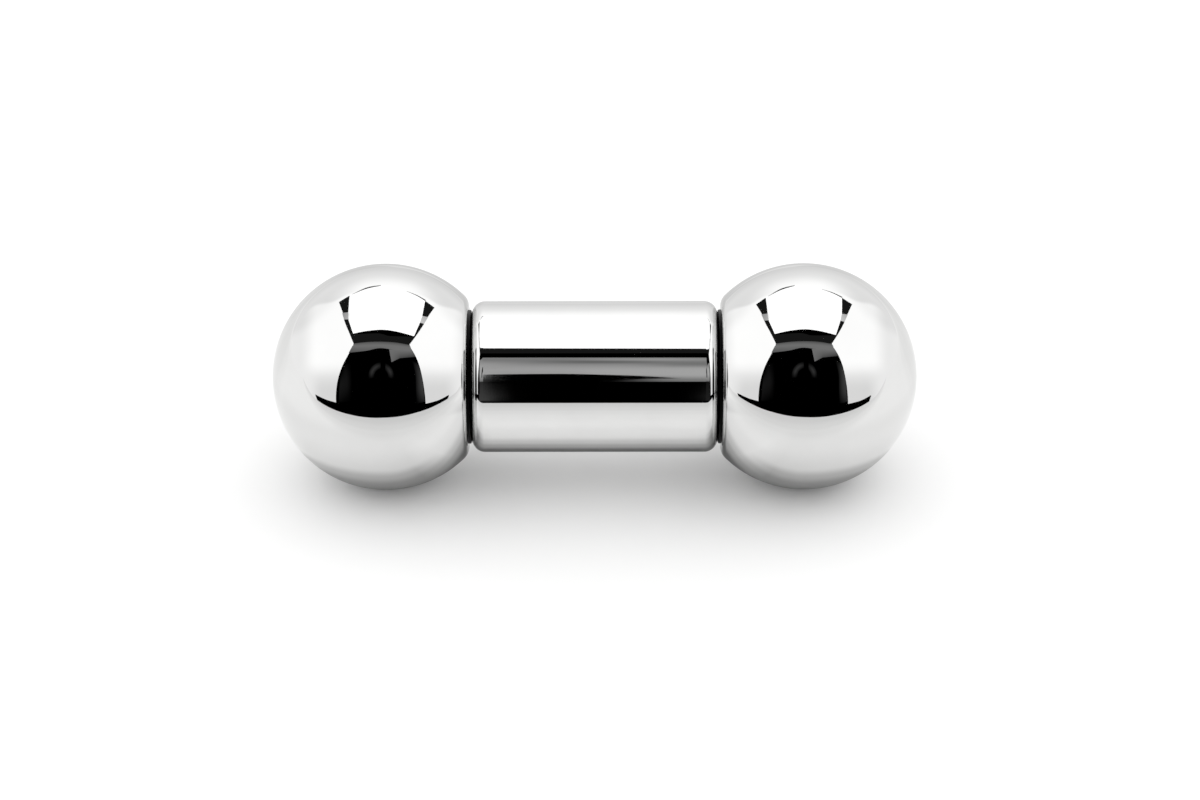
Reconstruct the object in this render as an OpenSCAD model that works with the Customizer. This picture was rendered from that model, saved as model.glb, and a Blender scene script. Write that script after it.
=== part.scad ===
// Straight piercing barbell: a round bar with a ball screwed to each end.
// Millimetres. X runs along the bar, Z is up, and both balls rest on z = 0.
// Each ball holds a stud, and the stud's thread screws into the bar.

/* [Bar] */
// Thickness of the bar, its gauge
bar_d = 8; // [6:0.5:10]
// Length of the bar between its end faces
bar_l = 13; // [12.9:0.1:30]
// Rounding of the bar's end edges
bar_edge_r = 0.7; // [0.2:0.1:0.8]

/* [Balls] */
// Diameter of each ball, across the facets that it is built with
ball_d = 12; // [11:0.5:16]
// Number of facets around a ball, each touching the true round surface at its middle
ball_sides = 20; // [16:4:48]
// Distance from a ball's centre to its flat
flat_x = 4.4; // [4.3:0.02:4.8]
// Rounding between the flat and the ball's round surface
flat_edge_r = 0.8; // [0.5:0.1:2]
// Width of the slot between a ball's flat and the bar's end with the ball screwed on
gap = 0.17; // [0.1:0.01:0.3]
// Diameter of the low dark seat on a ball's flat, which fills the slot up to the bar's end
seat_d = 7.1; // [5:0.1:7.4]
// Air between the seat and the bar's end
seat_air = 0.03; // [0.02:0.01:0.05]

/* [Stud] */
// Outer diameter of the stud's thread
thread_d = 4; // [3:0.5:4]
// Advance of the thread in one turn
pitch = 0.7; // [0.5:0.1:0.8]
// Depth of the thread
thread_depth = 0.4; // [0.3:0.05:0.5]
// Number of thread turns on the stud
turns = 6; // [4:1:6]
// How far the stud reaches into the bar
reach = 5.3; // [5:0.1:5.4]
// How far the stud reaches into its ball
socket_l = 3; // [2:0.5:4]
// Radial air around the stud in the bar and in the ball
stud_air = 0.05; // [0.03:0.01:0.08]
// Air beyond each end of the stud
end_air = 0.3; // [0.2:0.1:0.4]
// Width of the countersink at the mouth of each hole in the bar
mouth = 0.35; // [0.2:0.05:0.5]

/* [Hidden] */

$fn = 96;
ball_r = ball_d / 2;
ball_step = 360 / ball_sides;
edge_x = flat_x - flat_edge_r;
edge_y = sqrt(pow(ball_r - flat_edge_r, 2) - edge_x * edge_x);
edge_angle = 180 - atan2(edge_y, edge_x);
bar_r = bar_d / 2;
bar_end = bar_l / 2;
stud_r = thread_d / 2;
root_r = stud_r - thread_depth;
hole_r = stud_r + stud_air;
axis_z = ball_r;
flat_at = bar_end + gap;
ball_at = flat_at + flat_x;
tip_at = bar_end - reach;
flank = pitch / 8;
seat_root = 0.5;
past = 1;
steel = [0.80, 0.80, 0.79];
dark_steel = [0.62, 0.62, 0.62];

// Turns a profile about the bar's axis, its x along the bar and its y the radius
module turned() {
    translate([0, 0, axis_z])
        rotate([90, 0, 90])
            rotate_extrude()
                mirror([1, -1])
                    children();
}

// A rectangle of the profile, from one place along the bar to another and out to a radius
module band(from, to, radius) {
    translate([from, 0])
        square([to - from, radius]);
}

// The bar's solid profile with both end edges rounded
module bar_profile() {
    band(-bar_end, bar_end, bar_r - bar_edge_r);
    band(-bar_end + bar_edge_r, bar_end - bar_edge_r, bar_r);
    for (side = [-1, 1])
        translate([side * (bar_end - bar_edge_r), bar_r - bar_edge_r])
            circle(bar_edge_r);
}

// The hole for the right stud, with a countersunk mouth
module stud_hole_profile() {
    polygon([
        [tip_at - end_air, 0],
        [tip_at - end_air, hole_r],
        [bar_end - mouth, hole_r],
        [bar_end + past, hole_r + mouth + past],
        [bar_end + past, 0]
    ]);
}

// How far a ball reaches from its centre towards an angle from its tip, its flat being at 180
function ball_reach(angle) =
    angle < edge_angle
        ? ball_r
        : flat_edge_r - edge_x * cos(angle) + edge_y * sin(angle);

// The corner between the facets that face an angle and the next one, as distance along and radius
function ball_corner(angle) =
    let (here = ball_reach(angle), there = ball_reach(angle + ball_step))
    [
        here * sin(angle + ball_step) - there * sin(angle),
        there * cos(angle) - here * cos(angle + ball_step)
    ] / sin(ball_step);

// A ball about its own centre with flat facets around it and from tip to flat, its tip towards x
module ball_blank() {
    corners = [for (ring = [0:ball_sides / 2 - 1]) ball_corner(ring * ball_step)];
    last = len(corners) - 1;
    around = [0:ball_sides - 1];
    polyhedron(
        points = [
            for (corner = corners)
                for (side = around)
                    let (turn = (side + 0.5) * ball_step, out = corner[1] / cos(ball_step / 2))
                    [corner[0], out * cos(turn), out * sin(turn)]
        ],
        faces = [
            [for (side = around) ball_sides - 1 - side],
            [for (side = around) last * ball_sides + side],
            for (ring = [0:last - 1])
                for (side = around)
                    let (next = (side + 1) % ball_sides, here = ring * ball_sides)
                    [here + side, here + next, here + ball_sides + next, here + ball_sides + side]
        ]
    );
}

// The stud's profile: a thread drawn as rings one pitch apart, a bare neck and a plain tail
module stud_profile() {
    rings = [for (turn = [1:turns]) tip_at + (turn - 0.25) * pitch];
    polygon([
        [tip_at, 0],
        [tip_at, root_r],
        for (at = rings) each [
            [at - 3 * flank, root_r],
            [at - flank / 2, stud_r],
            [at + flank / 2, stud_r],
            [at + 3 * flank, root_r]
        ],
        [flat_at, root_r],
        [flat_at, stud_r],
        [flat_at + socket_l, stud_r],
        [flat_at + socket_l, 0]
    ]);
}

module bar() {
    color(steel)
        turned()
            difference() {
                bar_profile();
                stud_hole_profile();
                mirror([1, 0])
                    stud_hole_profile();
            }
}

module right_ball() {
    color(steel)
        difference() {
            union() {
                translate([ball_at, 0, axis_z])
                    ball_blank();
                turned()
                    band(bar_end + seat_air, flat_at + seat_root, seat_d / 2);
            }
            turned()
                band(bar_end - past, flat_at + socket_l + end_air, hole_r);
        }
}

module left_ball() {
    mirror([1, 0, 0])
        right_ball();
}

module right_stud() {
    color(dark_steel)
        turned()
            stud_profile();
}

module left_stud() {
    mirror([1, 0, 0])
        right_stud();
}

bar();
left_ball();
right_ball();
left_stud();
right_stud();
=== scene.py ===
"""Looks of the piercing barbell: polished steel pieces, and the white studio that they mirror.

Metres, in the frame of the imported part: x along the bar, y to the back, z up.
"""
import math

import bpy
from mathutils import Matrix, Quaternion, Vector


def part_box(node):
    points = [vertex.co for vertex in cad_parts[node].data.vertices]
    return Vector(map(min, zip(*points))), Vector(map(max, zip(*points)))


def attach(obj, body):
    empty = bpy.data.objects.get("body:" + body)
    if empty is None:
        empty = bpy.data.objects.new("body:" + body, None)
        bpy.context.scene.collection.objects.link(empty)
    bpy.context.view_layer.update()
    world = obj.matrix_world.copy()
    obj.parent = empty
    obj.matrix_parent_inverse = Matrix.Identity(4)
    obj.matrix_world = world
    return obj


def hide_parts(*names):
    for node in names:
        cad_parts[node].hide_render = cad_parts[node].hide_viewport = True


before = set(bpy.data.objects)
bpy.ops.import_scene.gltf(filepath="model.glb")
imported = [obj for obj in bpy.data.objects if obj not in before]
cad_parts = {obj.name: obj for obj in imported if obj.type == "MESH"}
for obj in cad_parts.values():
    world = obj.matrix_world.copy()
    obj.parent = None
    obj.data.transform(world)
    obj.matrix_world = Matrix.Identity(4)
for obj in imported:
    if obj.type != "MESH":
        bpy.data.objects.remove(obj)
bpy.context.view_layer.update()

MM = 0.001

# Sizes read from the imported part

bar_low, bar_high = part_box("bar")
ball_low, ball_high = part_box("right_ball")
stud_low, stud_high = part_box("right_stud")
AXIS_Z = (ball_low.z + ball_high.z) / 2
BAR_END = bar_high.x
BAR_R = (bar_high.z - bar_low.z) / 2
BALL_R = (ball_high.z - ball_low.z) / 2
BALL_AT = ball_high.x - BALL_R
SEAT_AT = ball_low.x
STUD_TIP, STUD_TAIL = stud_low.x, stud_high.x
STUD_R = (stud_high.z - stud_low.z) / 2

# Sizes that the part's source names, which its boxes don't give

BAR_EDGE_R = 0.7 * MM
FLAT_EDGE_R = 0.8 * MM
FLAT_AT = BAR_END + 0.17 * MM
SEAT_R = 3.55 * MM
SEAT_EDGE_R = 0.06 * MM
STUD_AIR = 0.05 * MM
END_AIR = 0.3 * MM
MOUTH = 0.35 * MM
PITCH = 0.7 * MM
THREAD_DEPTH = 0.4 * MM
HOLE_R = STUD_R + STUD_AIR
ROOT_R = STUD_R - THREAD_DEPTH


# Materials: scales of their patterns per metre, and the span of each pattern that is used

FILM_SCALE = 260.0
FILM_SPAN = (0.3, 0.7)
WIPE_SCALES = (900.0, 240.0, 240.0)
WIPE_SPAN = (0.3, 0.75)
RING_SCALE = 30000.0
# How much finer the grain is along the bar than around it, and the height of the fine marks
GRAIN_SHORTENING = 9
MARK_HEIGHT = 0.01 * MM


def new_material(name):
    material = bpy.data.materials.new(name)
    material.use_nodes = True
    nodes = material.node_tree.nodes
    nodes.clear()
    return material, nodes, material.node_tree.links


def noise(nodes, links, vector, scale, detail=2.0, rough=0.5):
    node = nodes.new("ShaderNodeTexNoise")
    node.inputs["Scale"].default_value = scale
    node.inputs["Detail"].default_value = detail
    node.inputs["Roughness"].default_value = rough
    links.new(vector, node.inputs["Vector"])
    return node.outputs["Fac"]


def ramp(nodes, links, value, low, high, out_low, out_high):
    node = nodes.new("ShaderNodeMapRange")
    for name, number in (("From Min", low), ("From Max", high), ("To Min", out_low), ("To Max", out_high)):
        node.inputs[name].default_value = number
    links.new(value, node.inputs["Value"])
    return node.outputs["Result"]


def stretched(nodes, links, vector, factors):
    node = nodes.new("ShaderNodeMapping")
    node.inputs["Scale"].default_value = factors
    links.new(vector, node.inputs["Vector"])
    return node.outputs["Vector"]


def from_axis(nodes, links):
    """The place on a piece measured from the bar's axis, and its distance along the bar."""
    place = nodes.new("ShaderNodeTexCoord")
    shift = nodes.new("ShaderNodeVectorMath")
    shift.operation = "SUBTRACT"
    shift.inputs[1].default_value = (0, 0, AXIS_Z)
    links.new(place.outputs["Object"], shift.inputs[0])
    parts = nodes.new("ShaderNodeSeparateXYZ")
    links.new(shift.outputs["Vector"], parts.inputs["Vector"])
    return shift.outputs["Vector"], parts.outputs["X"]


def steel(name, tone, warmth, rough, rough_spread, grain, grain_strength, ring_strength):
    """Steel with a faint uneven tone, a wiped film that changes its gloss, and fine marks."""
    material, nodes, links = new_material(name)
    output = nodes.new("ShaderNodeOutputMaterial")
    shader = nodes.new("ShaderNodeBsdfPrincipled")
    shader.inputs["Metallic"].default_value = 1.0
    links.new(shader.outputs["BSDF"], output.inputs["Surface"])
    place, along = from_axis(nodes, links)

    film = noise(nodes, links, place, FILM_SCALE, detail=4.0, rough=0.55)
    tones = nodes.new("ShaderNodeMix")
    tones.data_type = "RGBA"
    low, high = tone
    tones.inputs["A"].default_value = (low, low, low * warmth, 1)
    tones.inputs["B"].default_value = (high, high, high * warmth, 1)
    links.new(ramp(nodes, links, film, *FILM_SPAN, 0.0, 1.0), tones.inputs["Factor"])
    links.new(tones.outputs["Result"], shader.inputs["Base Color"])

    wipe = noise(nodes, links, stretched(nodes, links, place, WIPE_SCALES), 1.0, detail=5.0, rough=0.6)
    gloss = ramp(nodes, links, wipe, *WIPE_SPAN, rough, rough + rough_spread)
    links.new(gloss, shader.inputs["Roughness"])

    grain_scales = (grain * GRAIN_SHORTENING, grain, grain)
    marks = noise(nodes, links, stretched(nodes, links, place, grain_scales), 1.0, detail=3.0, rough=0.6)
    rings = nodes.new("ShaderNodeTexNoise")
    rings.noise_dimensions = "1D"
    rings.inputs["Scale"].default_value = RING_SCALE
    rings.inputs["Detail"].default_value = 2.0
    links.new(along, rings.inputs["W"])
    first = nodes.new("ShaderNodeBump")
    first.inputs["Strength"].default_value = grain_strength
    first.inputs["Distance"].default_value = MARK_HEIGHT
    links.new(marks, first.inputs["Height"])
    second = nodes.new("ShaderNodeBump")
    second.inputs["Strength"].default_value = ring_strength
    second.inputs["Distance"].default_value = MARK_HEIGHT
    links.new(rings.outputs["Fac"], second.inputs["Height"])
    links.new(first.outputs["Normal"], second.inputs["Normal"])
    links.new(second.outputs["Normal"], shader.inputs["Normal"])
    return material


POLISHED = steel(
    "polished_steel", tone=(0.66, 0.685), warmth=0.995, rough=0.012, rough_spread=0.022,
    grain=2500.0, grain_strength=0.004, ring_strength=0.0,
)
# Steel made nearly black for the holes, the sockets and the bar's ends that face the balls: painted shade in
# the recesses and between the parts
SHADED_TURNED = steel(
    "turned_steel_painted_shade", tone=(0.10, 0.16), warmth=0.98, rough=0.30, rough_spread=0.20,
    grain=4000.0, grain_strength=0.25, ring_strength=0.35,
)
THREADED = steel(
    "threaded_steel", tone=(0.42, 0.50), warmth=0.98, rough=0.16, rough_spread=0.14,
    grain=4000.0, grain_strength=0.12, ring_strength=0.20,
)
# The low seat in the narrow gap between ball and bar, coloured near black: painted shade of that gap
SHADED_SEAT = steel(
    "seat_painted_shade", tone=(0.002, 0.005), warmth=0.97, rough=0.34, rough_spread=0.22,
    grain=4000.0, grain_strength=0.20, ring_strength=0.30,
)


# Pieces: how finely they are turned, and their material slots

SIDES = 256
BALL_STEPS, FLAT_EDGE_STEPS, BAR_EDGE_STEPS, SEAT_EDGE_STEPS = 120, 40, 24, 6
ON_AXIS = 1e-9
POLISHED_PART, SHADED_TURNED_PART, SEAT_PART = 0, 1, 2


def mesh_object(name, vertices, faces, materials, slots=None, normals=None):
    """A smooth mesh, with a material slot for each face and a normal for each corner where given."""
    mesh = bpy.data.meshes.new(name)
    mesh.from_pydata(vertices, [], faces)
    for material in materials:
        mesh.materials.append(material)
    if slots:
        mesh.polygons.foreach_set("material_index", slots)
    mesh.polygons.foreach_set("use_smooth", [True] * len(mesh.polygons))
    mesh.update()
    if normals:
        mesh.normals_split_custom_set(normals)
    piece = bpy.data.objects.new(name, mesh)
    bpy.context.scene.collection.objects.link(piece)
    return piece


def line(start, end, normal, part, steps=1):
    """A straight run of a profile: points as (x, radius, normal x, normal radius)."""
    length = math.hypot(*normal)
    across = (normal[0] / length, normal[1] / length)
    points = [
        (start[0] + (end[0] - start[0]) * i / steps, start[1] + (end[1] - start[1]) * i / steps, *across)
        for i in range(steps + 1)
    ]
    return points, part


def arc(centre, radius, from_deg, to_deg, steps, part):
    """A round run of a profile, whose normals point away from its centre."""
    points = []
    for i in range(steps + 1):
        angle = math.radians(from_deg + (to_deg - from_deg) * i / steps)
        across = (math.cos(angle), math.sin(angle))
        points.append((centre[0] + radius * across[0], centre[1] + radius * across[1], *across))
    return points, part


def turned_piece(name, runs, at, outward, materials):
    """Turns a profile about the bar's axis, with exact normals. outward is 1 to the right, else -1."""
    vertices, faces, normals, slots = [], [], [], []
    turn = [2 * math.pi * k / SIDES for k in range(SIDES)]
    circle = [(math.cos(a), math.sin(a)) for a in turn]

    def ring(point):
        x = at + outward * point[0]
        if point[1] < ON_AXIS:
            vertices.append((x, 0, AXIS_Z))
            return [len(vertices) - 1] * SIDES
        first = len(vertices)
        vertices.extend((x, point[1] * c, AXIS_Z + point[1] * s) for c, s in circle)
        return list(range(first, first + SIDES))

    last = None
    for points, part in runs:
        here = last or ring(points[0])
        for a, b in zip(points, points[1:]):
            there = ring(b)
            for k in range(SIDES):
                j = (k + 1) % SIDES
                corners = [(here[k], a, k), (there[k], b, k), (there[j], b, j), (here[j], a, j)]
                kept = []
                for corner in corners:
                    if corner[0] not in [other[0] for other in kept]:
                        kept.append(corner)
                if outward < 0:
                    kept.reverse()
                faces.append([corner[0] for corner in kept])
                slots.append(part)
                for _, point, side in kept:
                    c, s = circle[side]
                    normals.append((outward * point[2], point[3] * c, point[3] * s))
            here = there
        last = here
    return mesh_object(name, vertices, faces, materials, slots, normals)


def bar_runs():
    """Half of the bar, from the bottom of its right hole out to the middle of its length, and mirrored."""
    hole_end = STUD_TIP - END_AIR
    mouth_at, mouth_r = BAR_END - MOUTH, HOLE_R + MOUTH
    edge_at, edge_r = BAR_END - BAR_EDGE_R, BAR_R - BAR_EDGE_R
    half = [
        # The hole, its mouth and the bar's end face take the steel darkened with painted shade
        line((hole_end, 0), (hole_end, HOLE_R), (1, 0), SHADED_TURNED_PART),
        line((hole_end, HOLE_R), (mouth_at, HOLE_R), (0, -1), SHADED_TURNED_PART, steps=12),
        line((mouth_at, HOLE_R), (BAR_END, mouth_r), (1, -1), SHADED_TURNED_PART, steps=2),
        line((BAR_END, mouth_r), (BAR_END, edge_r), (1, 0), SHADED_TURNED_PART, steps=2),
        arc((edge_at, edge_r), BAR_EDGE_R, 0, 90, BAR_EDGE_STEPS, POLISHED_PART),
        line((edge_at, BAR_R), (0, BAR_R), (0, 1), POLISHED_PART, steps=12),
    ]
    back = [
        ([(-x, r, -nx, nr) for x, r, nx, nr in reversed(points)], part)
        for points, part in reversed(half)
    ]
    return half + back


def ball_runs():
    """A ball from its tip, over its round side, soft edge, flat and low seat, into its blind socket; the
    seat and the socket are darkened with painted shade.
    """
    flat = FLAT_AT - BALL_AT
    edge_x = flat + FLAT_EDGE_R
    edge_y = math.sqrt((BALL_R - FLAT_EDGE_R) ** 2 - edge_x**2)
    edge_deg = math.degrees(math.atan2(edge_y, edge_x))
    seat = SEAT_AT - BALL_AT
    socket_end = STUD_TAIL + END_AIR - BALL_AT
    return [
        arc((0, 0), BALL_R, 0, edge_deg, BALL_STEPS, POLISHED_PART),
        arc((edge_x, edge_y), FLAT_EDGE_R, edge_deg, 180, FLAT_EDGE_STEPS, POLISHED_PART),
        line((flat, edge_y), (flat, SEAT_R), (-1, 0), POLISHED_PART),
        line((flat, SEAT_R), (seat + SEAT_EDGE_R, SEAT_R), (0, 1), SEAT_PART, steps=2),
        arc((seat + SEAT_EDGE_R, SEAT_R - SEAT_EDGE_R), SEAT_EDGE_R, 90, 180, SEAT_EDGE_STEPS, SEAT_PART),
        line((seat, SEAT_R - SEAT_EDGE_R), (seat, HOLE_R), (-1, 0), SEAT_PART, steps=4),
        line((seat, HOLE_R), (socket_end, HOLE_R), (0, -1), SHADED_TURNED_PART, steps=8),
        line((socket_end, HOLE_R), (socket_end, 0), (-1, 0), SHADED_TURNED_PART),
    ]


THREAD_TURNS = 6
THREAD_SIDES = 96
# The thread's section over one pitch, as (share of the pitch, share of the depth)
THREAD_SECTION = [(0.0, 0.0), (0.125, 0.0), (0.4375, 1.0), (0.5625, 1.0), (0.875, 0.0)]
# Turns over which the thread grows from its root at its start and sinks into it at its end
THREAD_RUN = 0.5
# How far past the tip the shoulder and the thread begin, and past the thread the bare neck, in pitches
SHOULDER_PITCHES, START_PITCHES, NECK_PITCHES = 0.02, 0.05, 0.1
STUD_CHAMFER = 0.15 * MM
COLLAR_CHAMFER = 0.05 * MM
CREASE = math.radians(25)


def stud(name, outward):
    """A stud with a true helical thread, a bare neck and a plain tail."""
    per_turn = len(THREAD_SECTION)
    start = STUD_TIP + START_PITCHES * PITCH
    vertices, faces = [], []

    def put(x, radius, side):
        angle = 2 * math.pi * side / THREAD_SIDES
        vertices.append((outward * x, radius * math.cos(angle), AXIS_Z + radius * math.sin(angle)))

    rows = per_turn * (THREAD_TURNS - 1) + 1
    for row in range(rows):
        share, height = THREAD_SECTION[row % per_turn]
        for side in range(THREAD_SIDES + 1):
            turned = row // per_turn + share + side / THREAD_SIDES
            grown = max(0.0, min(1.0, turned / THREAD_RUN, (THREAD_TURNS - turned) / THREAD_RUN))
            put(start + turned * PITCH, ROOT_R + THREAD_DEPTH * height * grown, side)
    width = THREAD_SIDES + 1
    for row in range(rows - 1):
        for side in range(THREAD_SIDES):
            a = row * width + side
            faces.append((a, a + width, a + width + 1, a + 1))

    def plain_ring(x, radius):
        first = len(vertices)
        for side in range(THREAD_SIDES):
            put(x, radius, side)
        return [first + side % THREAD_SIDES for side in range(THREAD_SIDES + 1)]

    def band(from_row, to_row):
        for side in range(THREAD_SIDES):
            faces.append((from_row[side], to_row[side], to_row[side + 1], from_row[side + 1]))

    nose = plain_ring(STUD_TIP, ROOT_R - STUD_CHAMFER)
    shoulder = plain_ring(STUD_TIP + SHOULDER_PITCHES * PITCH, ROOT_R)
    band(nose, shoulder)
    band(shoulder, list(range(width)))
    faces.append(list(reversed(nose[:-1])))
    last_row = [(rows - 1) * width + side for side in range(width)]
    neck = plain_ring(start + (THREAD_TURNS + NECK_PITCHES) * PITCH, ROOT_R)
    band(last_row, neck)
    root = plain_ring(FLAT_AT, ROOT_R)
    collar = plain_ring(FLAT_AT, STUD_R - COLLAR_CHAMFER)
    body = plain_ring(FLAT_AT + COLLAR_CHAMFER, STUD_R)
    tail = plain_ring(STUD_TAIL - STUD_CHAMFER, STUD_R)
    end = plain_ring(STUD_TAIL, STUD_R - STUD_CHAMFER)
    for a, b in ((neck, root), (root, collar), (collar, body), (body, tail), (tail, end)):
        band(a, b)
    faces.append(end[:-1])
    if outward < 0:
        faces = [tuple(reversed(face)) for face in faces]
    piece = mesh_object(name, vertices, faces, [THREADED])
    piece.data.set_sharp_from_angle(angle=CREASE)
    return piece


def placed(piece, body, slot, *nodes):
    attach(piece, body)
    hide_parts(*nodes)
    return piece


BAR_STEELS = [POLISHED, SHADED_TURNED]
BALL_STEELS = [POLISHED, SHADED_TURNED, SHADED_SEAT]
bar = placed(turned_piece("bar_polished", bar_runs(), 0, 1, BAR_STEELS), "bar", "bar_steel", "bar")
balls = []
for side_name, outward in (("left", -1), ("right", 1)):
    ball = turned_piece(f"{side_name}_ball_polished", ball_runs(), outward * BALL_AT, outward, BALL_STEELS)
    balls.append(placed(ball, f"{side_name}_ball", "ball_steel", f"{side_name}_ball"))
    post = stud(f"{side_name}_stud_threaded", outward)
    placed(post, f"{side_name}_stud", "stud_steel", f"{side_name}_stud")


# Camera

CAMERA_ELEVATION = math.radians(30)
CAMERA_DISTANCE = 0.2
CAMERA_ROLL = math.radians(-0.07)
PIXELS_PER_METRE = 18850
IMAGE_WIDTH = 1200
SENSOR_WIDTH = 36.0
SEEN_FROM, SEEN_TO = 0.01, 3.0
# Where the photo's middle lies from the part's middle, to the right of it and below it
AIM_RIGHT = 0.281 * MM
AIM_DOWN = 1.247 * MM

right_way = Vector((1, 0, 0))
up_way = Vector((0, math.sin(CAMERA_ELEVATION), math.cos(CAMERA_ELEVATION)))
camera_way = Vector((0, -math.cos(CAMERA_ELEVATION), math.sin(CAMERA_ELEVATION)))
middle = Vector((0, 0, AXIS_Z))
aim = middle + right_way * AIM_RIGHT - up_way * AIM_DOWN
lens = bpy.data.cameras.new("camera")
lens.sensor_fit = "HORIZONTAL"
lens.sensor_width = SENSOR_WIDTH
lens.lens = SENSOR_WIDTH * CAMERA_DISTANCE * PIXELS_PER_METRE / IMAGE_WIDTH
lens.clip_start, lens.clip_end = SEEN_FROM, SEEN_TO
camera = bpy.data.objects.new("camera", lens)
bpy.context.scene.collection.objects.link(camera)
camera.rotation_mode = "QUATERNION"
camera.location = aim + camera_way * CAMERA_DISTANCE
camera.rotation_quaternion = (-camera_way).to_track_quat("-Z", "Y") @ Quaternion((0, 0, 1), CAMERA_ROLL)
bpy.context.scene.camera = camera


# Studio

def emission(name, strength=None):
    """A light of one strength, or of the strength stored with each corner of its mesh."""
    material, nodes, links = new_material(name)
    output = nodes.new("ShaderNodeOutputMaterial")
    light = nodes.new("ShaderNodeEmission")
    if strength is None:
        stored = nodes.new("ShaderNodeAttribute")
        stored.attribute_name = "level"
        links.new(stored.outputs["Fac"], light.inputs["Strength"])
    else:
        light.inputs["Strength"].default_value = strength
    links.new(light.outputs["Emission"], output.inputs["Surface"])
    material.cycles.emission_sampling = "NONE"
    return material


# Levels of the lights and of what stays dark, where 1 is the white that the camera shows as white paper
TOP_LIGHT = 1.7
DARK_ROOM = 0.012
GREY_WALL = 0.235
DOME_LEVEL = 1.05
AMBIENT = 1.25

SHADED_CARD = emission("shaded_card")
TOP_CARD = emission("top_card", TOP_LIGHT)
BLACK_CARD = emission("black_card", 0.0)
DARK_CARD = emission("dark_card", DARK_ROOM)
WHITE_DOME = emission("white_dome", DOME_LEVEL)


def staged(name, vertices, faces, material, camera_sees=False, mirrored=True, levels=None):
    """A thing of the studio, which by itself neither lights the floor nor casts a shadow."""
    thing = mesh_object(name, vertices, faces, [material])
    if levels:
        stored = thing.data.attributes.new("level", "FLOAT", "POINT")
        stored.data.foreach_set("value", levels)
    thing.visible_camera = camera_sees
    thing.visible_glossy = mirrored
    thing.visible_diffuse = False
    thing.visible_transmission = False
    thing.visible_shadow = False
    return thing


def shown_by(u, v):
    """The way that a ball in the middle mirrors at u to the right and v up, in shares of its radius."""
    facing = math.sqrt(max(0.0, 1 - u * u - v * v))
    return (
        right_way * (2 * facing * u)
        + up_way * (2 * facing * v)
        + camera_way * (2 * facing * facing - 1)
    )


def places_along(points, count):
    """For count even steps from the first point to the last, the run of each and how far along it."""
    for i in range(count):
        t = i / (count - 1) * (len(points) - 1)
        k = min(int(t), len(points) - 2)
        yield k, t - k


def eased(a, b, c, d, t):
    """A number on the smooth curve from b to c, with a before them and d after them."""
    square = 2 * a - 5 * b + 4 * c - d
    cube = 3 * b - a - 3 * c + d
    return 0.5 * (2 * b + (c - a) * t + square * t * t + cube * t**3)


def curved(points, count):
    """A smooth curve through points of any length, as count points."""
    out = []
    for k, t in places_along(points, count):
        p0, p1, p2, p3 = (points[min(max(k + d, 0), len(points) - 1)] for d in (-1, 0, 1, 2))
        out.append([eased(a, b, c, d, t) for a, b, c, d in zip(p0, p1, p2, p3)])
    return out


def straight(points, count):
    """Straight runs through points of any length, as count points."""
    return [
        [a + (b - a) * t for a, b in zip(points[k], points[k + 1])]
        for k, t in places_along(points, count)
    ]


def card(name, distance, material, rows, seen_by=None, way=curved, across=41, per=8):
    """A card spanned between rows of (u, v), or of (u, v, level), where a ball in the middle mirrors it.

    Each row is drawn with so many points across, and so many steps per row lead to the next one.
    """
    rows = [way(row, across) for row in rows]
    vertices, levels = [], []
    count = per * (len(rows) - 1) + 1
    for i in range(count):
        k = min(i // per, len(rows) - 2)
        t = (i - k * per) / per
        for a, b in zip(rows[k], rows[k + 1]):
            u, v, *level = (p + (q - p) * t for p, q in zip(a, b))
            vertices.append(middle + shown_by(u, v) * distance)
            levels.extend(level)
    faces = [
        (i * across + j, i * across + j + 1, (i + 1) * across + j + 1, (i + 1) * across + j)
        for i in range(count - 1)
        for j in range(across - 1)
    ]
    thing = staged(name, vertices, faces, material, levels=levels)
    if seen_by is not None:
        group = bpy.data.collections.new(name + "_lights")
        for piece in seen_by:
            group.objects.link(piece)
        thing.light_linking.receiver_collection = group
    return thing


def smooth(low, high, value):
    t = min(1.0, max(0.0, (value - low) / (high - low)))
    return t * t * (3 - 2 * t)


# Distances of the tent, of its dark opening and of the cards before it, from far to near
TENT_AT = 3.4
OPENING_AT = 3.2
END_LIGHT_AT = 3.1
BEHIND_LIGHT_AT = 3.05
LIGHT_AT = 3.0
BEFORE_LIGHT_AT = 2.95
FRAME_AT = 2.9


# The tent's roof and wall, and the seam between them: how far out it lies, its dip and its softness
TENT_ROOF, TENT_WALL = 0.86, 1.22
SEAM_OUT, SEAM_DIP, SEAM_SOFT = 0.885, 0.10, 0.012
TENT_RINGS, TENT_SIDES = 120, 240
# The tent's last ring, just short of a ball's rim, where all ways meet
TENT_RIM = 0.99999


def tent_level(u, v):
    """How bright the white tent is where a ball mirrors it."""
    out = math.hypot(u, v)
    side = abs(u)
    # The roof is dimmer at the rim and brighter over the middle
    roof = TENT_ROOF + 0.20 * smooth(0.975, 0.90, out)
    roof += 0.42 * smooth(0.55, 0.15, side) * smooth(0.92, 0.79, out)
    # The wall is brighter beside the opening, and dimmer in its upper corners and beside the opening's foot
    wall = TENT_WALL + 0.25 * smooth(0.74, 0.58, side) * smooth(-0.02, 0.14, v)
    wall -= 0.15 * smooth(0.35, 0.48, v * side / 0.7)
    wall -= 0.22 * smooth(0.68, 0.52, side) * smooth(0.07, -0.12, v)
    seam = SEAM_OUT - SEAM_DIP * smooth(0.70, 0.42, side)
    above = smooth(seam - SEAM_SOFT, seam + SEAM_SOFT, out) * smooth(0.28, 0.42, v)
    return wall + (roof - wall) * above


def closed_grid(rings, sides):
    """Faces over rings of vertices, each ring closed on itself."""
    faces = []
    for i in range(rings):
        here, there = i * sides, (i + 1) * sides
        for j in range(sides):
            k = (j + 1) % sides
            faces.append((here + j, here + k, there + k, there + j))
    return faces


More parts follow.
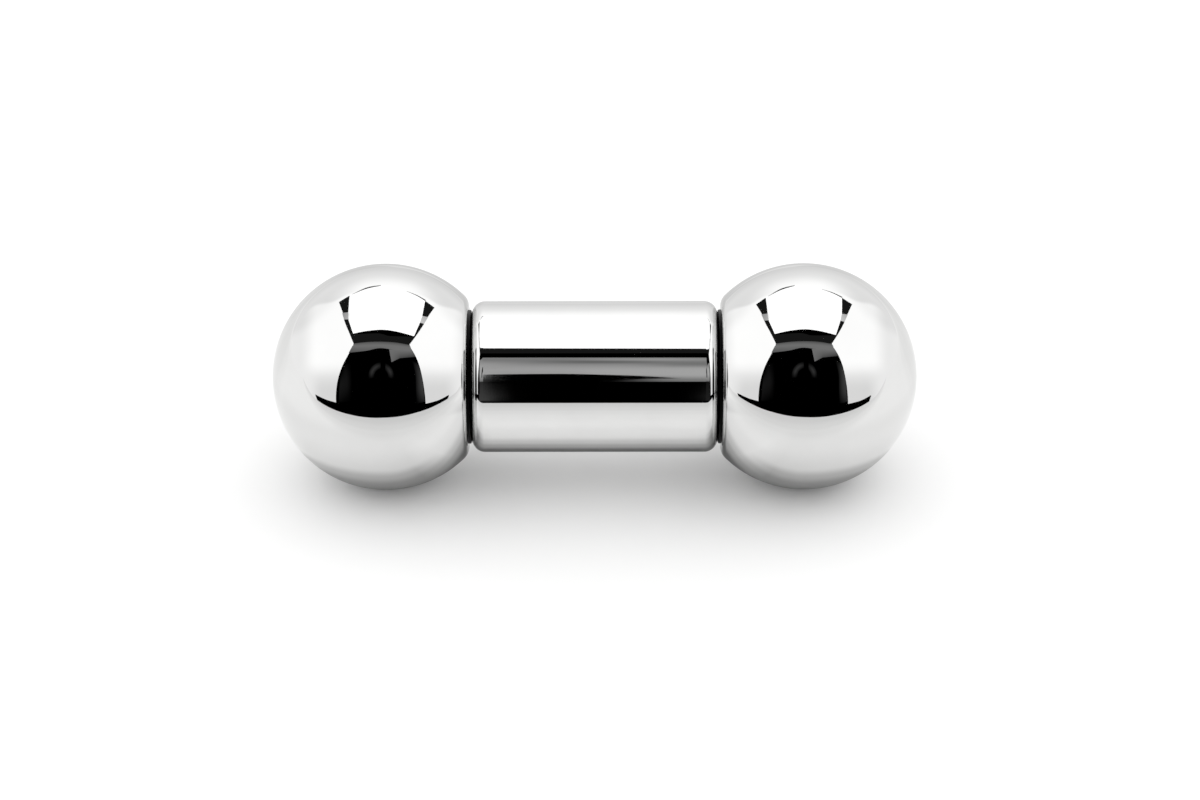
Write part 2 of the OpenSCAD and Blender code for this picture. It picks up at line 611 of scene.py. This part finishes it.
def tent():
    vertices, levels = [], []
    for i in range(TENT_RINGS + 1):
        out = math.sin(math.pi / 2 * i / TENT_RINGS) * TENT_RIM
        for j in range(TENT_SIDES):
            angle = 2 * math.pi * j / TENT_SIDES
            u, v = out * math.cos(angle), out * math.sin(angle)
            vertices.append(middle + shown_by(u, v) * TENT_AT)
            levels.append(tent_level(u, v))
    faces = closed_grid(TENT_RINGS, TENT_SIDES)
    return staged("studio_tent", vertices, faces, SHADED_CARD, levels=levels)


tent()

# The tent's dark opening in front, from the strips beside the top light down to the floor's edge
card("dark_opening", OPENING_AT, DARK_CARD, [
    [(-0.411, 0.640), (-0.364, 0.540), (-0.348, 0.478), (-0.300, 0.375), (-0.254, 0.272)],
    [(-0.324, 0.697), (-0.300, 0.553), (-0.290, 0.480), (-0.250, 0.380), (-0.200, 0.272)],
    [(0.338, 0.675), (0.310, 0.540), (0.290, 0.480), (0.240, 0.380), (0.180, 0.272)],
    [(0.425, 0.616), (0.368, 0.515), (0.343, 0.460), (0.290, 0.370), (0.222, 0.272)],
], across=33)
card("dark_body", OPENING_AT, BLACK_CARD, [
    [(-0.252, 0.276), (-0.303, 0.190), (-0.358, 0.082), (-0.396, -0.035),
     (-0.411, -0.147), (-0.412, -0.245), (-0.40, -0.5)],
    [(0.221, 0.276), (0.281, 0.180), (0.320, 0.080), (0.346, -0.035),
     (0.362, -0.150), (0.368, -0.245), (0.37, -0.5)],
], across=49)
card("dark_left_wedge", OPENING_AT, BLACK_CARD, [
    [(-0.597, -0.150), (-0.50, -0.196), (-0.40, -0.226)],
    [(-0.592, -0.165), (-0.50, -0.40), (-0.40, -0.5)],
])
card("dark_right_wedge", OPENING_AT, BLACK_CARD, [
    [(0.570, -0.163), (0.48, -0.210), (0.36, -0.243)],
    [(0.570, -0.173), (0.48, -0.40), (0.36, -0.5)],
])

# What the opening faintly shows of the dark room: two pale corners and the arch of the camera's own lens
card("room_left", BEHIND_LIGHT_AT, SHADED_CARD, [
    [(-0.368, 0.02, 0.0), (-0.380, -0.08, 0.012), (-0.39, -0.22, 0.004)],
    [(-0.335, 0.10, 0.004), (-0.315, -0.05, 0.010), (-0.32, -0.22, 0.0)],
    [(-0.28, 0.12, 0.0), (-0.27, -0.05, 0.0), (-0.28, -0.22, 0.0)],
], seen_by=balls)
card("room_right", BEHIND_LIGHT_AT, SHADED_CARD, [
    [(0.25, 0.14, 0.0), (0.280, 0.02, 0.004), (0.285, -0.12, 0.004), (0.29, -0.24, 0.0)],
    [(0.285, 0.12, 0.008), (0.318, 0.01, 0.048), (0.328, -0.13, 0.044), (0.335, -0.23, 0.010)],
    [(0.295, 0.12, 0.010), (0.337, 0.01, 0.066), (0.352, -0.13, 0.056), (0.36, -0.22, 0.020)],
], seen_by=balls)

# The arch's middle, its radius, half the width of its line, and how much taller it is than a circle
LENS_U, LENS_V, LENS_R, LENS_RIM = -0.016, 0.0, 0.086, 0.028
LENS_TALL = 1.1
LENS_GLOW = 0.042
# The arch's first degree, its turn and its steps
LENS_FROM, LENS_TURN, LENS_STEPS = -12, 204, 12
# What is left of the arch in its middle, where the bar's own cards stand before it
LENS_HIDDEN = 0.3


def lens_row(radius, share):
    """One line of the arch, which fades towards its feet and where the bar's cards hide it."""
    row = []
    for step in range(LENS_STEPS + 1):
        angle = math.radians(LENS_FROM + LENS_TURN * step / LENS_STEPS)
        u = LENS_U + radius * math.cos(angle)
        glow = LENS_GLOW * share * smooth(0.0, 0.6, math.sin(angle) + 0.2)
        glow *= LENS_HIDDEN + (1 - LENS_HIDDEN) * smooth(0.015, 0.06, abs(u))
        row.append((u, LENS_V + LENS_TALL * radius * math.sin(angle), glow))
    return row


card("lens_arch", BEHIND_LIGHT_AT, SHADED_CARD, [
    lens_row(LENS_R + LENS_RIM, 0.0), lens_row(LENS_R, 1.0), lens_row(LENS_R - LENS_RIM, 0.0),
], seen_by=balls)

# The top light, the broken edge of its frame, and two small lights beside it
card("top_light", LIGHT_AT, TOP_CARD, [
    [(-0.266, 0.370), (-0.15, 0.394), (-0.01, 0.407), (0.12, 0.391), (0.264, 0.354)],
    [(-0.311, 0.485), (-0.15, 0.490), (-0.01, 0.500), (0.13, 0.490), (0.311, 0.478)],
    [(-0.318, 0.550), (-0.17, 0.600), (-0.03, 0.620), (0.14, 0.600), (0.326, 0.531)],
    [(-0.322, 0.700), (-0.19, 0.765), (-0.04, 0.796), (0.14, 0.765), (0.340, 0.676)],
])
card("top_light_frame_left", FRAME_AT, SHADED_CARD, [
    [(-0.30, 0.706, 0.8), (-0.18, 0.761, 0.05), (-0.06, 0.791, 0.4)],
    [(-0.30, 0.712, 0.8), (-0.18, 0.773, 0.05), (-0.06, 0.799, 0.4)],
])
card("top_light_frame_right", FRAME_AT, SHADED_CARD, [
    [(0.17, 0.750, 0.8), (0.26, 0.716, 0.2), (0.34, 0.672, 0.1)],
    [(0.17, 0.755, 0.8), (0.26, 0.724, 0.2), (0.345, 0.681, 0.1)],
])
card("left_gap_light", LIGHT_AT, SHADED_CARD, [
    [(-0.373, 0.548, 0.40), (-0.29, 0.556, 0.60)],
    [(-0.353, 0.490, 0.50), (-0.28, 0.496, 0.85)],
], way=straight)
card("right_gap_light", LIGHT_AT, SHADED_CARD, [
    [(0.30, 0.540, 0.75), (0.378, 0.528, 0.60)],
    [(0.29, 0.482, 0.95), (0.346, 0.466, 0.80)],
], way=straight)

# The grey wall across the opening: its soft upper edge, its plain band, and a patch that fades downwards
BAND_TOP = [
    (u, v, GREY_WALL)
    for u, v in ((-0.27, 0.262), (-0.15, 0.265), (-0.03, 0.270), (0.10, 0.265), (0.24, 0.250))
]
card("grey_band_upper", BEFORE_LIGHT_AT, SHADED_CARD, [
    [(-0.260, 0.284, 0.12), (-0.15, 0.297, 0.12), (-0.03, 0.302, 0.12),
     (0.10, 0.297, 0.10), (0.228, 0.276, 0.12)],
    [(-0.262, 0.270, 0.20), (-0.15, 0.280, 0.20), (-0.03, 0.283, 0.20),
     (0.10, 0.279, 0.19), (0.236, 0.262, 0.20)],
    BAND_TOP,
], seen_by=balls)
card("grey_band", BEFORE_LIGHT_AT, SHADED_CARD, [
    BAND_TOP,
    [(-0.30, 0.205, 0.12), (-0.15, 0.222, 0.16), (-0.03, 0.246, 0.20),
     (0.10, 0.232, GREY_WALL), (0.25, 0.222, GREY_WALL)],
], seen_by=balls)
card("grey_patch", BEFORE_LIGHT_AT, SHADED_CARD, [
    [(0.052, 0.236, 0.23), (0.15, 0.228, 0.23), (0.255, 0.222, 0.23)],
    [(0.074, 0.124, 0.20), (0.145, 0.160, 0.10), (0.283, 0.172, 0.05)],
], seen_by=balls, way=straight)

# The same wall as the bar mirrors it, which spreads it along its length. Places along the bar are in
# millimetres, and each millimetre takes this much of u
BAR_SPREAD = 0.00277
WALL_TOP, WALL_FOOT = 0.246, -0.074
WALL_HALF = 7.5
WALL_ROWS, WALL_PLACES = 41, 31
# The level of its lit part, how much dimmer its top is, and the level at its open foot
WALL_LIT, WALL_TOP_DIM, OPEN_FOOT = 0.52, 0.25, 0.24


def along_bar(place):
    return place * BAR_SPREAD


def hump(centre, half_width, value):
    """A soft hill, 1 at its centre and 0 from its half width on."""
    return max(0.0, 1 - ((value - centre) / half_width) ** 2) ** 2


def wall_level(place, v):
    """How bright the wall is at a place along the bar and a height v."""
    lit = WALL_LIT - WALL_TOP_DIM * smooth(0.07, 0.21, v)
    # Streaks from the top down: a pale and a dark one, a pale one at the left and a dark one at the right
    lit += 0.15 * hump(2.8, 5.5, place) * hump(0.219, 0.03, v)
    lit -= 0.11 * hump(0.0, 4.5, place) * hump(0.187, 0.035, v)
    lit += 0.13 * smooth(-3.0, -7.5, place) * hump(0.165, 0.06, v)
    lit -= 0.11 * smooth(1.0, 5.0, place) * hump(0.150, 0.05, v)
    # A dim corner at the upper right, and a dim part at the lower left
    lit -= 0.14 * smooth(3.0, 7.5, place) * smooth(0.235, 0.246, v)
    lit -= 0.07 * hump(-3.5, 4.0, place) * smooth(0.13, 0.03, v)
    # The foot is shaded in the middle and to its left, and open at the right and at the far left
    plain = max(smooth(0.5, 4.5, place), smooth(-5.5, -7.5, place))
    shaded = lit * smooth(-0.045, 0.025, v)
    open_foot = OPEN_FOOT + (lit - OPEN_FOOT) * smooth(-0.066, 0.025, v)
    return (shaded + (open_foot - shaded) * plain) * smooth(-0.080, -0.066, v)


def wall_row(v):
    """The wall at one height, as a row of (u, v, level) over its whole length."""
    row = []
    for step in range(WALL_PLACES):
        place = WALL_HALF * (2 * step / (WALL_PLACES - 1) - 1)
        row.append((along_bar(place), v, wall_level(place, v)))
    return row


card("bar_wall", LIGHT_AT, SHADED_CARD, [
    wall_row(WALL_TOP + (WALL_FOOT - WALL_TOP) * row / (WALL_ROWS - 1)) for row in range(WALL_ROWS)
], seen_by=[bar], way=straight, across=61, per=1)
card("bar_shadow", FRAME_AT, BLACK_CARD, [
    [(along_bar(place), v) for place, v in row]
    for row in (
        ((-5.9, 0.020), (-5.2, 0.027), (-2.0, 0.032), (0.0, 0.022), (2.1, 0.004), (3.9, -0.026)),
        ((-5.9, -0.020), (-5.2, -0.04), (-2.0, -0.08), (0.0, -0.08), (2.1, -0.038), (3.9, -0.030)),
    )
], seen_by=[bar])

# A faint glow at each end of the bar's dark part: the places where it is whole, mostly gone and quite gone
GLOW_WHOLE, GLOW_FADED, GLOW_GONE = 5.8, 5.4, 4.6
GLOW_FADED_SHARE = 0.3
# Its share at each v
GLOW_SHARES = ((-0.09, 0.3), (-0.15, 0.6), (-0.26, 1.6), (-0.31, 1.0), (-0.335, 0.2))
# The bar's rounded end sweeps over the wall beside it, at each v out to this u
WALL_REACHES = (
    (0.246, 0.210), (0.228, 0.222), (0.192, 0.250), (0.133, 0.280),
    (0.086, 0.298), (0.025, 0.310), (-0.02, 0.32), (-0.060, 0.32),
)
# Below the wall it shows a share of the level of what lies there: v, u and share
FOOT_REACHES = ((-0.075, 0.32, 0.5), (-0.15, 0.32, 0.7), (-0.31, 0.32, 1.0), (-0.335, 0.32, 0.0))

for name, end, glow, foot in (("bar_glow_left", -1, 0.03, 0.065), ("bar_glow_right", 1, 0.012, 0.02)):
    card(name, LIGHT_AT, SHADED_CARD, [
        [
            (along_bar(end * GLOW_WHOLE), v, glow * share),
            (along_bar(end * GLOW_FADED), v, glow * share * GLOW_FADED_SHARE),
            (along_bar(end * GLOW_GONE), v, 0.0),
        ]
        for v, share in GLOW_SHARES
    ], seen_by=[bar], way=straight, across=21)
    end_levels = [(v, reach, wall_level(end * WALL_HALF, v)) for v, reach in WALL_REACHES]
    end_levels += [(v, reach, foot * share) for v, reach, share in FOOT_REACHES]
    card(name + "_end", END_LIGHT_AT, SHADED_CARD, [
        [(along_bar(end * GLOW_WHOLE), v, level), (end * reach, v, level)] for v, reach, level in end_levels
    ], seen_by=[bar], way=straight)

# The top light's lower edge as the bar mirrors it
card("bar_top_light", BEHIND_LIGHT_AT, TOP_CARD, [
    [(-0.24, 0.366), (-0.06, 0.374), (0.0, 0.366), (0.06, 0.352), (0.24, 0.350)],
    [(-0.24, 0.42), (-0.06, 0.42), (0.0, 0.42), (0.06, 0.42), (0.24, 0.42)],
], seen_by=[bar])


# Floor: one plane for the camera, and one for the mirrors that ends at the front as the real one does

FLOOR_GREY = (0.90, 0.90, 0.90, 1)
FLOOR_WHITE = (0.93, 0.93, 0.925, 1)
FLOOR_SCALE = 30.0


def floor_tone(nodes, links, place):
    tones = nodes.new("ShaderNodeMix")
    tones.data_type = "RGBA"
    tones.inputs["A"].default_value = FLOOR_GREY
    tones.inputs["B"].default_value = FLOOR_WHITE
    links.new(noise(nodes, links, place, FLOOR_SCALE), tones.inputs["Factor"])
    return tones.outputs["Result"]


def floor_material():
    material, nodes, links = new_material("pale_floor")
    output = nodes.new("ShaderNodeOutputMaterial")
    shader = nodes.new("ShaderNodeBsdfDiffuse")
    place = nodes.new("ShaderNodeTexCoord").outputs["Object"]
    links.new(floor_tone(nodes, links, place), shader.inputs["Color"])
    links.new(shader.outputs["BSDF"], output.inputs["Surface"])
    return material


def combined(nodes, links, operation, first, second=0.0):
    """What a Math node makes of one or two values, each a number or an output of a node."""
    node = nodes.new("ShaderNodeMath")
    node.operation = operation
    for socket, value in zip(node.inputs, (first, second)):
        if isinstance(value, (int, float)):
            socket.default_value = value
        else:
            links.new(value, socket)
    return node.outputs["Value"]


# Painted shade and painted light in the mirrored floor's colour, by its distance from the line between the
# places that the balls rest on,
# as (millimetres, tone): beside the balls, and beside the bar
BALL_TONES = (
    (0.0, 0.40), (2.0, 0.54), (3.6, 0.55), (4.8, 0.75), (6.2, 1.07), (9.0, 1.07), (14.0, 1.02), (20.0, 1.06),
)
BAR_TONES = (
    (0.0, 0.28), (0.8, 0.32), (2.4, 0.78), (3.4, 1.05), (4.8, 1.32), (7.3, 1.24), (13.0, 1.06), (20.0, 1.06),
)
# Over these places to each side the tones beside the bar give way to those beside the balls
BESIDE_FROM, BESIDE_TO = BAR_END - MM, BAR_END + 2 * MM
# Painted shade that dims it by its distance in front of that line, and by its distance behind it
FRONT_TONES = ((0.0, 1.0), (12.0, 1.0), (16.5, 0.90), (20.0, 0.82), (28.0, 0.74), (40.0, 0.70))
BACK_TONES = ((0.0, 1.0), (10.0, 0.95), (22.0, 0.62), (50.0, 0.62), (120.0, 0.78))
# Beyond this place to each side the painted shade behind the part begins further back, in proportion
BACK_HALF = 18 * MM
# Over these places to each side the tones behind the part give way to other ones
ASIDE_FROM, ASIDE_TO = 16 * MM, 26 * MM
ASIDE_TONES = (
    (0.0, 1.0), (2.8, 0.985), (4.4, 0.935), (5.9, 0.885), (9.8, 0.845), (16.0, 0.76), (40.0, 0.66),
)
# The other ones begin further back by this power of the proportion
ASIDE_POWER = 1.5


def tone_curve(nodes, links, distance, stops):
    """A grey ramp over a distance, through stops of (millimetres, tone)."""
    reach = stops[-1][0] * MM
    share = ramp(nodes, links, distance, 0.0, reach, 0.0, 1.0)
    node = nodes.new("ShaderNodeValToRGB")
    node.color_ramp.interpolation = "EASE"
    elements = node.color_ramp.elements
    while len(elements) > 1:
        elements.remove(elements[-1])
    for index, (at, tone) in enumerate(stops):
        element = elements[0] if index == 0 else elements.new(at * MM / reach)
        element.position = at * MM / reach
        element.color = (tone, tone, tone, 1)
    links.new(share, node.inputs["Fac"])
    return node.outputs["Color"]


def mixed_sideways(nodes, links, sideways, start, end, inner, outer):
    """Tones that change from the inner to the outer ones between two places to each side."""
    node = nodes.new("ShaderNodeMix")
    node.data_type = "RGBA"
    links.new(ramp(nodes, links, sideways, start, end, 0.0, 1.0), node.inputs["Factor"])
    links.new(inner, node.inputs["A"])
    links.new(outer, node.inputs["B"])
    return node.outputs["Result"]


def mirrored_floor_material():
    """The floor as the mirrors see it, with the soft shade near the part that the photo's steel mirrors."""
    material, nodes, links = new_material("floor_in_mirrors_painted_shade")
    output = nodes.new("ShaderNodeOutputMaterial")
    shader = nodes.new("ShaderNodeBsdfDiffuse")
    place = nodes.new("ShaderNodeTexCoord").outputs["Object"]
    parts = nodes.new("ShaderNodeSeparateXYZ")
    links.new(place, parts.inputs["Vector"])
    along, back = parts.outputs["X"], parts.outputs["Y"]
    sideways = combined(nodes, links, "ABSOLUTE", along)
    beyond = combined(nodes, links, "MAXIMUM", combined(nodes, links, "SUBTRACT", sideways, BALL_AT), 0.0)
    squares = combined(
        nodes, links, "ADD",
        combined(nodes, links, "MULTIPLY", beyond, beyond),
        combined(nodes, links, "MULTIPLY", back, back),
    )
    away = combined(nodes, links, "SQRT", squares)
    in_front = combined(nodes, links, "MULTIPLY", back, -1.0)
    wider = combined(nodes, links, "MAXIMUM", sideways, BACK_HALF)
    aside = combined(nodes, links, "DIVIDE", BACK_HALF, wider)
    behind = combined(nodes, links, "MULTIPLY", back, aside)
    further = combined(nodes, links, "POWER", aside, ASIDE_POWER)
    behind_aside = combined(nodes, links, "MULTIPLY", back, further)
    near_shade = mixed_sideways(
        nodes, links, sideways, BESIDE_FROM, BESIDE_TO,
        tone_curve(nodes, links, away, BAR_TONES), tone_curve(nodes, links, away, BALL_TONES),
    )
    back_shade = mixed_sideways(
        nodes, links, sideways, ASIDE_FROM, ASIDE_TO,
        tone_curve(nodes, links, behind, BACK_TONES), tone_curve(nodes, links, behind_aside, ASIDE_TONES),
    )
    tone = floor_tone(nodes, links, place)
    front_shade = tone_curve(nodes, links, in_front, FRONT_TONES)
    # The painted shade and painted light multiply the floor's own uneven tone
    for shade in (near_shade, front_shade, back_shade):
        product = nodes.new("ShaderNodeVectorMath")
        product.operation = "MULTIPLY"
        links.new(tone, product.inputs[0])
        links.new(shade, product.inputs[1])
        tone = product.outputs["Vector"]
    links.new(tone, shader.inputs["Color"])
    links.new(shader.outputs["BSDF"], output.inputs["Surface"])
    return material


# The camera's floor is round, with this many degrees from corner to corner
FLOOR_R = 0.95
FLOOR_STEP = 5
round_outline = [
    (FLOOR_R * math.cos(math.radians(a)), FLOOR_R * math.sin(math.radians(a)))
    for a in range(0, 360, FLOOR_STEP)
]
# The mirrored floor lies just over the other one. Its front edge runs back in two bends to each side, each
# given by its y and its x, and it reaches far to the sides and the back
FRONT_EDGE, FRONT_HALF = -0.038, 0.011
BEND_EDGE, BEND_AT = -0.034, 0.030
SIDE_EDGE, SIDE_AT = -0.021, 0.066
FAR = 2.5
MIRRORED_LIFT = 0.004 * MM
half_outline = [
    (FRONT_HALF, FRONT_EDGE), (BEND_AT, BEND_EDGE), (SIDE_AT, SIDE_EDGE), (FAR, SIDE_EDGE), (FAR, FAR),
]
mirrored_outline = half_outline + [(-x, y) for x, y in reversed(half_outline)]


def floor_plane(name, outline, z, material, camera_sees):
    """A plane that either the camera or the mirrors see."""
    vertices = [(x, y, z) for x, y in outline]
    face = list(range(len(outline)))
    return staged(name, vertices, [face], material, camera_sees=camera_sees, mirrored=not camera_sees)


seen_floor = floor_plane("floor", round_outline, 0.0, floor_material(), True)
seen_floor.visible_diffuse = True
seen_floor.visible_shadow = True
floor_plane("floor_in_mirrors", mirrored_outline, MIRRORED_LIFT, mirrored_floor_material(), False)


# White all round for the camera, and even light that only the floor takes

DOME_R = 1.0
DOME_RINGS, DOME_SIDES = 24, 48


def dome():
    vertices = []
    for i in range(DOME_RINGS + 1):
        tilt = math.pi * (i / DOME_RINGS - 0.5)
        out, up = DOME_R * math.cos(tilt), DOME_R * math.sin(tilt)
        for j in range(DOME_SIDES):
            turn = 2 * math.pi * j / DOME_SIDES
            vertices.append((out * math.cos(turn), out * math.sin(turn), up))
    faces = closed_grid(DOME_RINGS, DOME_SIDES)
    return staged("white_dome", vertices, faces, WHITE_DOME, camera_sees=True, mirrored=False)


dome()
world = bpy.data.worlds.new("world")
world.use_nodes = True
background = world.node_tree.nodes["Background"]
background.inputs["Color"].default_value = (1, 1, 1, 1)
background.inputs["Strength"].default_value = AMBIENT
world.cycles_visibility.camera = False
world.cycles_visibility.glossy = False
world.cycles_visibility.transmission = False
bpy.context.scene.world = world
bpy.context.scene.view_settings.view_transform = "Standard"
